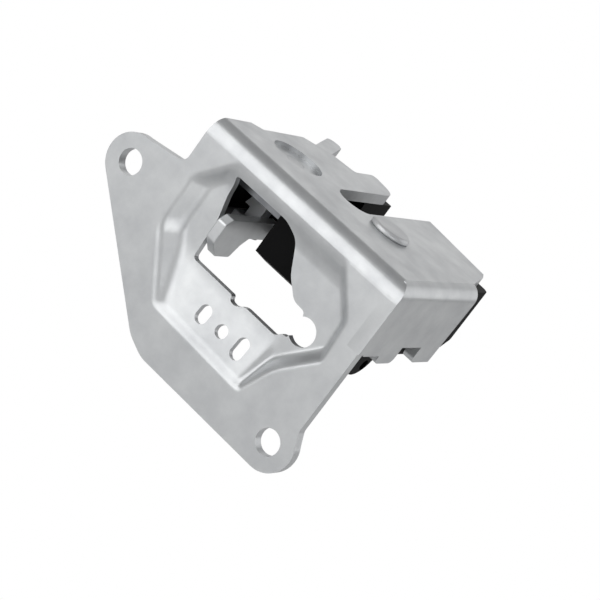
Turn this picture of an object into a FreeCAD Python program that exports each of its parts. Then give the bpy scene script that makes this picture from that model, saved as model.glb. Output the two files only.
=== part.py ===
import FreeCAD, Part
import math
import os
import re

import Sketcher

# Trunk lock: a pressed steel bracket that carries a rotary claw latch in a plastic housing.
# Millimetres, +X along the fold of the bracket, +Y from the mounting face into the vehicle
# panel, +Z up. The origin is the centre of the left fixing hole on the mounting face.

SIZES = {
    # Sheet steel bracket: a plate that is bolted on, a flange folded back from its top edge
    # and a side wall folded down from the flange.
    "sheet": 3.0,
    "fold_radius": 2.0,
    "wall_fold_radius": 0.8,
    "flange_top": 23.4,
    "fixing_hole": 6.8,
    "fixing_run": 72.8,
    "fixing_drop": 27.5,
    "lobe_radius": 7.4,
    "ear_angle": 41.8,
    "ear_rise": 1.9,
    "neck_left": 12.3,
    "neck_radius": 2.4,
    "toe_left": 33.0,
    "toe_radius": 9.0,
    "plate_right": 77.5,
    "shoulder_height": 6.6,
    "wall_outside": 77.8,
    "wall_gap": 0.3,
    "wall_rear": 45.0,
    "wall_bottom": 3.1,
    "foot_drop": 2.3,
    "foot_front": 12.0,
    "foot_notch_front": 21.8,
    "foot_notch_rear": 33.0,
    "foot_notch_top": 5.6,
    "flange_left": 14.8,
    "flange_step": 18.5,
    "flange_rear_left": 49.0,
    "tongue_left": 28.6,
    "tongue_rear": 62.0,
    "right_rear": 64.8,
    "right_rear_skew": 4.8,
    # Pressed recess of the plate, with its ramp and the opening in it.
    "recess_depth": 3.5,
    "recess_left": 16.4,
    "recess_right": 71.4,
    "recess_top": 17.6,
    "recess_bottom": 23.4,
    "ramp_top": 8.1,
    "ramp_right": 55.5,
    "recess_growth": 1.3,
    "opening_top": 15.0,
    "opening_left": 24.6,
    "opening_lobe_radius": 3.7,
    "opening_lobe_run": 61.8,
    "opening_lobe_drop": 2.8,
    "ramp_hole": 3.6,
    "ramp_hole_pitch": 6.5,
    "ramp_hole_run": 39.0,
    "ramp_hole_drop": 16.3,
    "ramp_slot_left": 1.6,
    "ramp_slot_right": 2.6,
    # Striker slot of the flange.
    "flange_corner": 1.5,
    "foot_corner": 1.8,
    "slot_middle": 43.0,
    "slot_width": 10.0,
    "slot_end": 23.0,
    # Pivots.
    "claw_run": 55.3,
    "claw_depth": 27.0,
    "pawl_run": 26.1,
    "pawl_depth": 22.0,
    "claw_shank": 8.0,
    "pawl_shank": 7.0,
    "running_gap": 0.05,
    "claw_head": 11.0,
    "claw_head_height": 1.5,
    "dimple_rim": 14.4,
    "dimple_depth": 1.2,
    "journal": 5.0,
    # Claw and pawl, in the plane below the flange.
    "level_gap": 0.3,
    "claw_thickness": 6.0,
    "pawl_thickness": 3.0,
    "claw_open": 55.0,
    "claw_hub": 8.6,
    "striker_room": 9.6,
    "claw_seat_run": 12.3,
    "claw_seat_depth": 1.5,
    "claw_skin": 0.8,
    "claw_sweep": 24.0,
    "catch_run": 20.4,
    "catch_rise": 12.0,
    "catch_width": 3.0,
    "stop_run": 0.6,
    "rivet_foot": 3.9,
    "bush_wall": 0.8,
    "pawl_hub": 5.2,
    "nose_run": 8.5,
    "nose_depth": 17.6,
    "nose_corner": 1.2,
    "peg": 3.0,
    "peg_offset": 4.3,
    "peg_setback": 8.6,
    "pawl_wire": 0.9,
    "square": 4.2,
    "shank_foot": 0.2,
    "dog_angle": 23.0,
    "dog_radius": 9.6,
    "dog_width": 2.4,
    # Release lever, one sheet pressing.
    "lever_sheet": 2.8,
    "lever_face": 31.0,
    "lever_arm": 56.0,
    "lever_arm_angle": 108.6,
    "lever_arm_root": 7.0,
    "lever_arm_end": 5.0,
    "blade_top": 6.4,
    "blade_height": 5.2,
    "blade_front": 0.3,
    "blade_tip": 4.7,
    "blade_tip_rear": 11.5,
    "blade_corner": 0.9,
    # Backing plate.
    "backing_sheet": 2.0,
    # Housing of moulded plastic.
    "house_left": 16.5,
    "house_front": 7.0,
    "house_rear": 61.5,
    "house_bottom": 0.2,
    "house_wall": 2.0,
    "house_floor": 3.2,
    "house_gap": 0.5,
    "channel_wall": 1.8,
    "jaw_front": 45.6,
    "front_chamfer_rise": 2.8,
    "front_chamfer_run": 8.0,
    "rear_chamfer_rise": 6.2,
    "rear_chamfer_run": 7.5,
    "window_left": 20.5,
    "window_right": 38.0,
    "window_rear": 33.0,
    "window_top": 17.0,
    "cheek_radius": 6.4,
    "cheek_hole": 3.0,
    "cheek_wall": 7.0,
    # Springs, buffers and screws.
    "spring_wire": 1.2,
    "spring_turns": 3.0,
    "pawl_spring_turns": 2.0,
    "claw_coil": 6.2,
    "claw_spring_tail": 9.0,
    "rivet_foot_height": 1.4,
    "buffer_thickness": 1.3,
    "screw_shank": 3.0,
    "screw_head": 5.6,
    "screw_head_height": 2.0,
    "screw_boss": 7.0,
}

WORD = re.compile(r"[a-z_]+[a-z0-9_]*")

doc = FreeCAD.newDocument("trunk_lock")
sheet = doc.addObject("Spreadsheet::Sheet", "Sizes")
for row, (alias, value) in enumerate(SIZES.items(), 1):
    sheet.set("A%d" % row, alias.replace("_", " "))
    sheet.set("B%d" % row, str(value))
    sheet.setAlias("B%d" % row, alias)
doc.recompute()


def rule(text):
    """A rule in size names, as an expression of the sheet."""
    return WORD.sub(lambda m: "Sizes." + m.group() if m.group() in SIZES else m.group(), text)


def bind(item, path, text):
    item.setExpression(path, rule(text))


# Bodies and sketches.

def new_body(label):
    body = doc.addObject("PartDesign::Body", label)
    body.Label = label
    return body


def new_sketch(body, name, role, level="0"):
    """A sketch on one of the body's own origin planes, moved by level along +X, +Y or +Z."""
    sketch = body.newObject("Sketcher::SketchObject", name)
    plane = [item for item in body.Origin.OriginFeatures if item.Role == role][0]
    sketch.AttachmentSupport = [(plane, "")]
    sketch.MapMode = "FlatFace"
    sign = "-1 * " if role == "XZ_Plane" else ""
    bind(sketch, "AttachmentOffset.Base.z", "%s(%s)" % (sign, level))
    return sketch


def fix_point(sketch, line, end, corner):
    """Ties one end of a line, or a circle's centre, to the sketch's origin by two sizes."""
    for kind, text in zip(("DistanceX", "DistanceY"), corner):
        index = sketch.addConstraint(Sketcher.Constraint(kind, -1, 1, line, end, 1.0))
        bind(sketch, "Constraints[%d]" % index, text)


def draw_outline(sketch, corners):
    """A closed outline of straight lines through corners that are given as rules."""
    count = len(corners)
    spots = [FreeCAD.Vector(math.cos(6.28 * i / count), math.sin(6.28 * i / count), 0)
             for i in range(count)]
    lines = [sketch.addGeometry(Part.LineSegment(spots[i], spots[(i + 1) % count]), False)
             for i in range(count)]
    for i in range(count):
        sketch.addConstraint(
            Sketcher.Constraint("Coincident", lines[i], 2, lines[(i + 1) % count], 1))
    for line, corner in zip(lines, corners):
        fix_point(sketch, line, 1, corner)


def draw_circle(sketch, centre, radius):
    line = sketch.addGeometry(
        Part.Circle(FreeCAD.Vector(1, 1, 0), FreeCAD.Vector(0, 0, 1), 1.0), False)
    fix_point(sketch, line, 3, centre)
    index = sketch.addConstraint(Sketcher.Constraint("Radius", line, 1.0))
    bind(sketch, "Constraints[%d]" % index, radius)


def finish_feature(body, feature, sketch, length, backwards):
    feature.Profile = sketch
    bind(feature, "Length", length)
    feature.Reversed = backwards
    sketch.Visibility = False
    body.Tip = feature
    doc.recompute()
    return feature


def add_pad(body, name, sketch, length, along=True):
    """Adds material from the sketch along +X, +Y or +Z, or the other way."""
    feature = body.newObject("PartDesign::Pad", name)
    facing = sketch.AttachmentSupport[0][0].Role == "XZ_Plane"
    return finish_feature(body, feature, sketch, length, along == facing)


def cut_pocket(body, name, sketch, length, along=True):
    """Removes material from the sketch along +X, +Y or +Z, or the other way."""
    before = body.Shape.Volume
    feature = body.newObject("PartDesign::Pocket", name)
    facing = sketch.AttachmentSupport[0][0].Role == "XZ_Plane"
    finish_feature(body, feature, sketch, length, along != facing)
    if body.Shape.Volume >= before:
        raise ValueError("%s removes nothing" % name)
    return feature


def pad_outline(body, name, role, level, length, corners):
    sketch = new_sketch(body, name + "_outline", role, level)
    draw_outline(sketch, corners)
    return add_pad(body, name, sketch, length)


def pad_circle(body, name, role, level, length, centre, radius):
    sketch = new_sketch(body, name + "_circle", role, level)
    draw_circle(sketch, centre, radius)
    return add_pad(body, name, sketch, length)


def cut_outline(body, name, role, level, length, corners):
    sketch = new_sketch(body, name + "_outline", role, level)
    draw_outline(sketch, corners)
    return cut_pocket(body, name, sketch, length)


def cut_circle(body, name, role, level, length, centre, radius):
    sketch = new_sketch(body, name + "_circle", role, level)
    draw_circle(sketch, centre, radius)
    return cut_pocket(body, name, sketch, length)


def round_edges(body, name, test, radius, kind="PartDesign::Fillet"):
    """Rounds the edges whose middle point and direction pass the test."""
    base = body.Tip
    names = []
    for number, edge in enumerate(base.Shape.Edges, 1):
        middle = edge.valueAt((edge.FirstParameter + edge.LastParameter) / 2)
        run = edge.tangentAt((edge.FirstParameter + edge.LastParameter) / 2)
        if test(middle, run, edge):
            names.append("Edge%d" % number)
    if not names:
        raise ValueError("%s finds no edge" % name)
    feature = body.newObject(kind, name)
    feature.Base = (base, names)
    bind(feature, "Radius" if kind.endswith("Fillet") else "Size", radius)
    body.Tip = feature
    doc.recompute()
    return feature


def rectangle(left, right, low, high):
    return [(left, low), (right, low), (right, high), (left, high)]


def number(text):
    """The value of a rule, for features that pick edges or are shaped in code."""
    result = sheet.evalExpression(rule(text))
    return float(getattr(result, "Value", result))


def join(kind, name, base, tool):
    """One of the boolean features, Part::Cut, Part::Fuse or Part::Common, on two objects."""
    feature = doc.addObject(kind, name)
    feature.Label = name
    feature.Base = base
    feature.Tool = tool
    doc.recompute()
    return feature


def edge_line(axis, first, second):
    """Picks the edges along one axis that lie on one line."""
    others = [name for name in "xyz" if name != axis]
    spot = (number(first), number(second))

    def test(middle, run, edge):
        return abs(getattr(run, axis)) > 0.999 and math.hypot(
            getattr(middle, others[0]) - spot[0], getattr(middle, others[1]) - spot[1]) < 0.05
    return test


def round_corners(body, name, axis, spots, radius):
    """Rounds the edges along one axis that pass through the given corners."""
    tests = [edge_line(axis, *spot) for spot in spots]
    return round_edges(body, name, lambda *edge: any(test(*edge) for test in tests), radius)


# The bracket: plate, flange and side wall padded as blocks, folds rounded, recess pressed in.

FOLD_OUT = "(fold_radius + sheet)"
WALL_OUT = "(wall_fold_radius + sheet)"
WALL_IN = "(wall_outside - sheet)"
PLATE_TOP = "(flange_top - fold_radius - sheet)"
FLANGE_UNDER = "(flange_top - sheet)"
SHOULDER = "(wall_outside - sheet - wall_gap)"
WALL_FRONT = "(sheet + wall_gap)"
EAR_SIN = "sin(ear_angle * 1deg)"
EAR_COS = "cos(ear_angle * 1deg)"
BOTTOM = "(-fixing_drop - lobe_radius)"
SLOT_LEFT = "(slot_middle - slot_width / 2)"
SLOT_RIGHT = "(slot_middle + slot_width / 2)"
SLOT_CENTRE = "(slot_end + slot_width / 2)"

# Recess corners at the mounting face and at its floor, clockwise from the upper left, with
# the way in which each corner moves when the pressing grows by the sheet.
RECESS = [
    (("recess_left + 7.6", "recess_top"), ("recess_left + 9.4", "opening_top + 0.6"), -0.7, 1),
    (("recess_right - 9.9", "recess_top"), ("recess_right - 11.4", "opening_top + 0.6"), 0.7, 1),
    (("recess_right - 1", "recess_top - 10.1"), ("recess_right - 3.1", "recess_top - 10.1"), 1, 0.5),
    (("recess_right", "recess_top - 21.1"), ("recess_right - 1.4", "recess_top - 21.1"), 1, -0.5),
    (("recess_right - 8.8", "-recess_bottom + 9.9"),
     ("recess_right - 9.8", "-recess_bottom + 9.6"), 1, -0.6),
    (("recess_right - 12.8", "-recess_bottom"), ("recess_right - 15.4", "-recess_bottom + 1.2"), 1, -1),
    (("recess_left + 11.9", "-recess_bottom"), ("recess_left + 15", "-recess_bottom + 1.2"), -0.7, -1),
    (("recess_left", "-ramp_top + 1.8"), ("recess_left + 4.1", "-ramp_top + 1.6"), -1, -0.5),
    (("recess_left", "recess_top - 9.4"), ("recess_left + 3.2", "recess_top - 11.1"), -1, 0.5),
]


def recess_loft(name, low, high, growth):
    """The pressed form between two depths, its outline moved outwards by the growth."""
    body = new_body(name)
    sketches = []
    for side, level in ((0, low), (1, high)):
        sketch = new_sketch(body, "%s_%d" % (name, side), "XZ_Plane", level)
        draw_outline(sketch, [
            ("%s + %s * %s" % (item[side][0], item[2], growth),
             "%s + %s * %s" % (item[side][1], item[3], growth)) for item in RECESS])
        sketches.append(sketch)
    loft = body.newObject("PartDesign::AdditiveLoft", name + "_loft")
    loft.Profile = sketches[0]
    loft.Sections = [sketches[1]]
    loft.Ruled = True
    body.Tip = loft
    doc.recompute()
    return body


def make_bracket():
    blank = new_body("bracket_blank")
    pad_outline(blank, "plate", "XZ_Plane", "0", "sheet", [
        ("neck_left", "flange_top"),
        (SHOULDER, "flange_top"),
        (SHOULDER, "shoulder_height"),
        ("plate_right", "shoulder_height"),
        ("plate_right", "-fixing_drop + lobe_radius"),
        ("fixing_run + lobe_radius * 0.96", "-fixing_drop + lobe_radius * 0.28"),
        ("fixing_run", BOTTOM),
        ("toe_left", BOTTOM),
        ("toe_left - 5.8", "-fixing_drop - lobe_radius + 2.4"),
        ("-lobe_radius * %s" % EAR_SIN, "-lobe_radius * %s" % EAR_COS),
        ("0", "lobe_radius"),
        ("neck_left", "lobe_radius + ear_rise"),
    ])
    pad_circle(blank, "left_lobe", "XZ_Plane", "0", "sheet", ("0", "0"), "lobe_radius")
    pad_circle(blank, "right_lobe", "XZ_Plane", "0", "sheet",
               ("fixing_run", "-fixing_drop"), "lobe_radius")
    pad_outline(blank, "flange", "XY_Plane", FLANGE_UNDER, "sheet", [
        ("neck_left", "0"),
        ("neck_left", "flange_step - 1.5"),
        ("flange_left", "flange_step + 1.5"),
        ("flange_left", "flange_rear_left - 7.5"),
        ("flange_left + 6.5", "flange_rear_left - 0.6"),
        ("tongue_left", "flange_rear_left + 1.5"),
        ("tongue_left", "tongue_rear"),
        (SLOT_LEFT, "tongue_rear - 2.5"),
        (SLOT_RIGHT, "right_rear"),
        ("wall_outside - 7.6", "right_rear - right_rear_skew"),
        ("wall_outside - 6.2", "right_rear - right_rear_skew - 3"),
        (SHOULDER, "wall_rear + 0.7"),
        (SHOULDER, "0"),
    ])
    round_edges(blank, "fold_outside", edge_line("x", "0", "flange_top"), FOLD_OUT)
    round_edges(blank, "fold_inside", edge_line("x", "sheet", FLANGE_UNDER), "fold_radius")
    round_corners(blank, "plate_corners", "y", [
        ("neck_left", "lobe_radius + ear_rise"),
        (SHOULDER, "shoulder_height"),
        ("plate_right", "-fixing_drop + lobe_radius")], "neck_radius")
    round_corners(blank, "toe_corners", "y", [
        ("toe_left", BOTTOM),
        ("toe_left - 5.8", "-fixing_drop - lobe_radius + 2.4")], "toe_radius")
    round_corners(blank, "flange_corners", "z", [
        ("tongue_left", "tongue_rear"),
        (SLOT_RIGHT, "right_rear"),
        ("flange_left", "flange_rear_left - 7.5"),
        ("flange_left + 6.5", "flange_rear_left - 0.6"),
        ("tongue_left", "flange_rear_left + 1.5")], "flange_corner")
    wall = new_body("side_wall")
    pad_outline(wall, "wall_profile", "XZ_Plane", "wall_gap", "wall_rear + 0.7 - wall_gap", [
        ("wall_outside - 2 * %s" % WALL_OUT, FLANGE_UNDER),
        ("wall_outside - 2 * %s" % WALL_OUT, "flange_top"),
        ("wall_outside", "flange_top"),
        ("wall_outside", "wall_bottom - foot_drop"),
        (WALL_IN, "wall_bottom - foot_drop"),
        (WALL_IN, FLANGE_UNDER),
    ])
    round_edges(wall, "wall_fold_outside", edge_line("y", "wall_outside", "flange_top"), WALL_OUT)
    round_edges(wall, "wall_fold_inside", edge_line("y", WALL_IN, FLANGE_UNDER),
                "wall_fold_radius")
    cut_outline(wall, "corner_relief", "YZ_Plane", "wall_outside - 9", "12",
                rectangle("-1", WALL_FRONT, "flange_top - 3.6", "flange_top + 1"))
    cut_outline(wall, "fold_relief", "XY_Plane", FLANGE_UNDER + " - 1", "6",
                rectangle("wall_outside - 9", SHOULDER, "-1", FOLD_OUT))
    cut_outline(wall, "front_step", "YZ_Plane", "wall_outside - 9", "12",
                rectangle("-1", WALL_FRONT, "wall_bottom - foot_drop - 1",
                          "shoulder_height + wall_gap"))
    cut_outline(wall, "front_foot_step", "YZ_Plane", "wall_outside - 9", "12",
                rectangle("-1", "foot_front", "wall_bottom - foot_drop - 1", "wall_bottom"))
    cut_outline(wall, "foot_notch", "YZ_Plane", "wall_outside - 9", "12",
                rectangle("foot_notch_front", "foot_notch_rear",
                          "wall_bottom - foot_drop - 1", "foot_notch_top"))
    cut_outline(wall, "rear_slope", "YZ_Plane", "wall_outside - 9", "12", [
        ("wall_rear + 0.7", "flange_top + 1"),
        ("wall_rear - 1", "wall_bottom - foot_drop - 1"),
        ("wall_rear + 5", "wall_bottom - foot_drop - 1"),
        ("wall_rear + 5", "flange_top + 1")])
    round_corners(wall, "foot_corners", "x", [
        ("foot_front", "wall_bottom - foot_drop"),
        ("foot_notch_front", "wall_bottom - foot_drop"),
        ("foot_notch_rear", "wall_bottom - foot_drop")], "foot_corner")

    ramp_foot = ("0", "-recess_bottom")
    ramp_head = ("recess_depth", "-ramp_top")
    fill = new_body("ramp_fill")
    pad_outline(fill, "ramp_front", "YZ_Plane", "recess_left - 4", "ramp_right - recess_left + 4",
                [ramp_foot, ramp_head, ("recess_depth + 9", "-ramp_top"),
                 ("recess_depth + 9", "-recess_bottom - 9"), ("0", "-recess_bottom - 9")])
    hollow = new_body("ramp_hollow")
    pad_outline(hollow, "ramp_back", "YZ_Plane", "recess_left - 4", "ramp_right - recess_left + 4",
                [("sheet", "-recess_bottom"), ("sheet + recess_depth", "-ramp_top"),
                 ("recess_depth + 12", "-ramp_top"), ("recess_depth + 12", "-recess_bottom - 9"),
                 ("sheet", "-recess_bottom - 9")])
    folded = join("Part::Fuse", "folded", blank, wall)
    bulge = join("Part::Cut", "pressing_back", recess_loft(
        "bulge", "sheet", "sheet + recess_depth", "recess_growth"), hollow)
    punch = join("Part::Cut", "pressing_front", recess_loft(
        "punch", "0", "recess_depth", "0"), fill)
    pressed = join("Part::Cut", "pressed", join("Part::Fuse", "raised", folded, bulge), punch)

    holes = new_body("bracket_holes")
    pad_outline(holes, "opening", "XZ_Plane", "-1", "12", [
        ("opening_left", "opening_top"),
        ("opening_left + 17.6", "opening_top"),
        ("opening_left + 21.6", "opening_top - 2"),
        ("opening_left + 26.2", "opening_top - 9.5"),
        ("opening_left + 30.7", "opening_top - 13.6"),
        ("opening_lobe_run", "-opening_lobe_drop + opening_lobe_radius"),
        ("opening_lobe_run", "-opening_lobe_drop - opening_lobe_radius"),
        ("opening_lobe_run - 4", "-opening_lobe_drop - opening_lobe_radius"),
        ("opening_lobe_run - 5", "-ramp_top"),
        ("opening_left + 21.4", "-ramp_top"),
        ("opening_left + 19.4", "-ramp_top - 1.6"),
        ("opening_left + 17.4", "-ramp_top - 1.4"),
        ("opening_left + 17", "-ramp_top"),
        ("opening_left + 2.6", "-ramp_top"),
        ("opening_left + 2.2", "opening_top - 12"),
        ("opening_left + 0.4", "opening_top - 5"),
    ])
    pad_circle(holes, "opening_lobe", "XZ_Plane", "-1", "12",
               ("opening_lobe_run", "-opening_lobe_drop"), "opening_lobe_radius")
    pad_circle(holes, "left_fixing", "XZ_Plane", "-1", "6", ("0", "0"), "fixing_hole / 2")
    pad_circle(holes, "right_fixing", "XZ_Plane", "-1", "6",
               ("fixing_run", "-fixing_drop"), "fixing_hole / 2")
    for place, reach in (("0", "ramp_slot_left"), ("1", "0"), ("2", "ramp_slot_right")):
        run = "ramp_hole_run + %s * ramp_hole_pitch" % place
        for side in ("-0.5", "0.5"):
            pad_circle(holes, "ramp_hole_%s_%s" % (place, "low" if side[0] == "-" else "high"),
                       "XZ_Plane", "-1", "12",
                       (run, "-ramp_hole_drop + %s * %s" % (side, reach)), "ramp_hole / 2")
        if reach != "0":
            pad_outline(holes, "ramp_slot_%s" % place, "XZ_Plane", "-1", "12",
                        rectangle("%s - ramp_hole / 2" % run, "%s + ramp_hole / 2" % run,
                                  "-ramp_hole_drop - %s / 2" % reach,
                                  "-ramp_hole_drop + %s / 2" % reach))
    pad_circle(holes, "slot_round", "XY_Plane", FLANGE_UNDER + " - 1", "6",
               ("slot_middle", SLOT_CENTRE), "slot_width / 2")
    pad_outline(holes, "slot_straight", "XY_Plane", FLANGE_UNDER + " - 1", "6",
                rectangle(SLOT_LEFT, SLOT_RIGHT, SLOT_CENTRE, "right_rear + 5"))
    pad_circle(holes, "rivet_hole", "XY_Plane", FLANGE_UNDER + " - 1", "6",
               ("claw_run", "claw_depth"), "claw_shank / 2 + running_gap")
    pad_circle(holes, "journal_hole", "XY_Plane", FLANGE_UNDER + " - 1", "6",
               ("pawl_run", "pawl_depth"), "journal / 2 + running_gap")
    pad_circle(holes, "dimple", "XY_Plane", "flange_top - dimple_depth", "dimple_depth + 1",
               ("pawl_run", "pawl_depth"), "dimple_rim / 2")
    return join("Part::Cut", "bracket", pressed, holes)


# Levels of the mechanism under the flange.

LEVER_TOP = "(flange_top - sheet - level_gap)"
LEVER_UNDER = "(flange_top - sheet - level_gap - lever_sheet)"
PAWL_TOP = "(flange_top - sheet - 2 * level_gap - lever_sheet)"
PAWL_UNDER = "(flange_top - sheet - 2 * level_gap - lever_sheet - pawl_thickness)"
CLAW_UNDER = "(flange_top - sheet - level_gap - claw_thickness)"
BACKING_TOP = "(flange_top - sheet - 2 * level_gap - claw_thickness)"
BACKING_UNDER = "(flange_top - sheet - 2 * level_gap - claw_thickness - backing_sheet)"
FLOOR_TOP = "(house_bottom + house_floor)"
BLADE_LEFT = "(lever_face - lever_sheet)"
HOUSE_RIGHT = "(wall_outside - sheet - wall_fold_radius - running_gap)"
SCREW_SPOTS = [("house_left + 6.8", "window_rear + 5.2"), ("claw_run + 11.5", "claw_depth - 11.5"),
               ("claw_run + 11.5", "claw_depth + 9.5")]


def make_backing_plate():
    body = new_body("backing_plate")
    pad_outline(body, "plate", "XY_Plane", BACKING_UNDER, "backing_sheet", [
        ("house_left + house_wall + house_gap", "house_front + house_wall + house_gap"),
        ("claw_run + 16", "house_front + house_wall + house_gap"),
        ("claw_run + 16", "claw_depth + 14"),
        ("slot_middle", "claw_depth + 14"),
        ("house_left + house_wall + house_gap", "claw_depth + 14")])
    cut_circle(body, "slot_round", "XY_Plane", BACKING_UNDER + " - 1", "backing_sheet + 2",
               ("slot_middle", SLOT_CENTRE), "slot_width / 2")
    cut_outline(body, "slot", "XY_Plane", BACKING_UNDER + " - 1", "backing_sheet + 2",
                rectangle(SLOT_LEFT, SLOT_RIGHT, SLOT_CENTRE, "claw_depth + 20"))
    cut_circle(body, "rivet_hole", "XY_Plane", BACKING_UNDER + " - 1", "backing_sheet + 2",
               ("claw_run", "claw_depth"), "claw_shank / 2 + running_gap")
    cut_circle(body, "bush_hole", "XY_Plane", BACKING_UNDER + " - 1", "backing_sheet + 2",
               ("pawl_run", "pawl_depth"), "pawl_shank / 2 + bush_wall")
    cut_circle(body, "peg_hole", "XY_Plane", BACKING_UNDER + " - 1", "backing_sheet + 2",
               ("pawl_run - peg_offset", "pawl_depth - peg_setback"), "peg / 2")
    for index, spot in enumerate(SCREW_SPOTS):
        cut_circle(body, "screw_hole_%d" % index, "XY_Plane", BACKING_UNDER + " - 1",
                   "backing_sheet + 2", spot, "screw_shank / 2 + running_gap")
    cut_outline(body, "spring_window", "XY_Plane", BACKING_UNDER + " - 1", "backing_sheet + 2", [
        ("claw_run + claw_coil * 0.42", "claw_depth - claw_coil * 1.12"),
        ("claw_run + claw_coil", "claw_depth - claw_coil * 1.12"),
        ("claw_run + claw_coil * 1.3", "claw_depth - claw_coil * 0.3"),
        ("claw_run + claw_coil * 1.3", "claw_depth + claw_coil * 0.2"),
        ("claw_run + claw_coil * 0.84", "claw_depth + claw_coil * 0.2"),
        ("claw_run + claw_coil * 0.79", "claw_depth - claw_coil * 0.35"),
        ("claw_run + claw_coil * 0.42", "claw_depth - claw_coil * 0.7")])
    return body


def make_spring_peg():
    body = new_body("spring_peg")
    pad_circle(body, "shank", "XY_Plane", BACKING_UNDER, "backing_sheet",
               ("pawl_run - peg_offset", "pawl_depth - peg_setback"), "peg / 2")
    pad_circle(body, "peg_top", "XY_Plane", BACKING_TOP, "%s - %s" % (PAWL_TOP, BACKING_TOP),
               ("pawl_run - peg_offset", "pawl_depth - peg_setback"), "peg / 2 - 0.2")
    return body


def make_claw():
    body = new_body("claw")
    core = "claw_thickness - 2 * claw_skin"
    level = CLAW_UNDER + " + claw_skin"
    pad_outline(body, "blade", "XY_Plane", level, core, claw_outline("0"))
    pad_circle(body, "hub", "XY_Plane", level, core, ("0", "0"), "claw_hub")
    cut_circle(body, "seat", "XY_Plane", level + " - 1", core + " + 2",
               ("-claw_seat_run", "claw_seat_depth"), "striker_room / 2")
    cut_circle(body, "bore", "XY_Plane", level + " - 1", core + " + 2",
               ("0", "0"), "claw_shank / 2 + bush_wall")
    cut_circle(body, "spring_hole", "XY_Plane", level + " - 1", core + " + 2",
               ("claw_coil", "0"), "spring_wire / 2 + house_gap")
    turn_claw(body)
    return body


def claw_outline(growth):
    """The claw in its latched place about its own pivot, grown outwards for its coating."""
    room_high = "claw_seat_depth + striker_room / 2"
    room_low = "claw_seat_depth - striker_room / 2"
    return [
        ("-catch_run - %s" % growth, "catch_rise + %s" % growth),
        ("-catch_run - 1.4 - %s" % growth, "catch_rise - catch_width + %s" % growth),
        ("-catch_run", "%s - %s" % (room_high, growth)),
        ("-claw_seat_run", "%s - %s" % (room_high, growth)),
        ("-claw_seat_run + striker_room / 2", "claw_seat_depth"),
        ("-claw_seat_run", "%s + %s" % (room_low, growth)),
        ("-claw_seat_run - 3.7 - %s" % growth, "%s + %s" % (room_low, growth)),
        ("-claw_seat_run - 2.7 - %s" % growth, "%s - 4 - %s" % (room_low, growth)),
        ("-claw_seat_run + 3 - %s" % growth, "%s - 6.5 - %s" % (room_low, growth)),
        ("0", "-claw_hub * 0.9 - %s" % growth),
        ("claw_hub * 0.5", "0"),
        ("0", "claw_hub * 0.98 + %s" % growth),
        ("-catch_run + 8.4", "catch_rise - 1.8 + %s" % growth),
        ("-catch_run + 3.5", "catch_rise - 2.2 + %s" % growth),
    ]


def turn_claw(item):
    """Puts a piece drawn in the latched place at its pivot, turned to the open place."""
    item.Placement = FreeCAD.Placement(
        FreeCAD.Vector(number("claw_run"), number("claw_depth"), 0),
        FreeCAD.Rotation(FreeCAD.Vector(0, 0, 1), -number("claw_open")))
    doc.recompute()


def make_claw_cover(claw):
    """The moulded coating of the claw: its outline grown by the skin, bare at the catch."""
    body = new_body("claw_coat")
    pad_outline(body, "coat", "XY_Plane", CLAW_UNDER, "claw_thickness", claw_outline("claw_skin"))
    pad_circle(body, "coat_hub", "XY_Plane", CLAW_UNDER, "claw_thickness", ("0", "0"),
               "claw_hub + claw_skin")
    cut_circle(body, "coat_seat", "XY_Plane", CLAW_UNDER + " - 1", "claw_thickness + 2",
               ("-claw_seat_run", "claw_seat_depth"), "striker_room / 2 - claw_skin")
    cut_outline(body, "bare_catch", "XY_Plane", CLAW_UNDER + " - 1", "claw_thickness + 2",
                rectangle("-catch_run - 6", "-catch_run + 5.5", "claw_seat_depth + striker_room / 2 - 4",
                          "catch_rise + 6"))
    cut_circle(body, "coat_bore", "XY_Plane", CLAW_UNDER + " - 1", "claw_thickness + 2",
               ("0", "0"), "claw_shank / 2 + bush_wall")
    cut_circle(body, "coat_spring_hole", "XY_Plane", CLAW_UNDER + " - 1", "claw_thickness + 2",
               ("claw_coil", "0"), "spring_wire / 2 + house_gap")
    turn_claw(body)
    return join("Part::Cut", "claw_cover", body, claw)


def make_claw_bush():
    body = new_body("claw_bush")
    pad_circle(body, "tube", "XY_Plane", CLAW_UNDER, "claw_thickness",
               ("claw_run", "claw_depth"), "claw_shank / 2 + bush_wall")
    cut_circle(body, "bore", "XY_Plane", CLAW_UNDER + " - 1", "claw_thickness + 2",
               ("claw_run", "claw_depth"), "claw_shank / 2 + running_gap")
    return body


def make_claw_rivet():
    body = new_body("claw_rivet")
    at = ("claw_run", "claw_depth")
    pad_circle(body, "shank", "XY_Plane", "rivet_foot", "flange_top - rivet_foot", at,
               "claw_shank / 2")
    pad_circle(body, "head", "XY_Plane", "flange_top", "claw_head_height", at, "claw_head / 2")
    pad_circle(body, "foot", "XY_Plane", "rivet_foot", "rivet_foot_height", at, "claw_coil + 2")
    round_edges(body, "head_round", lambda middle, run, edge:
                abs(middle.z - number("flange_top + claw_head_height")) < 0.01,
                "claw_head_height * 0.7")
    return body


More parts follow.
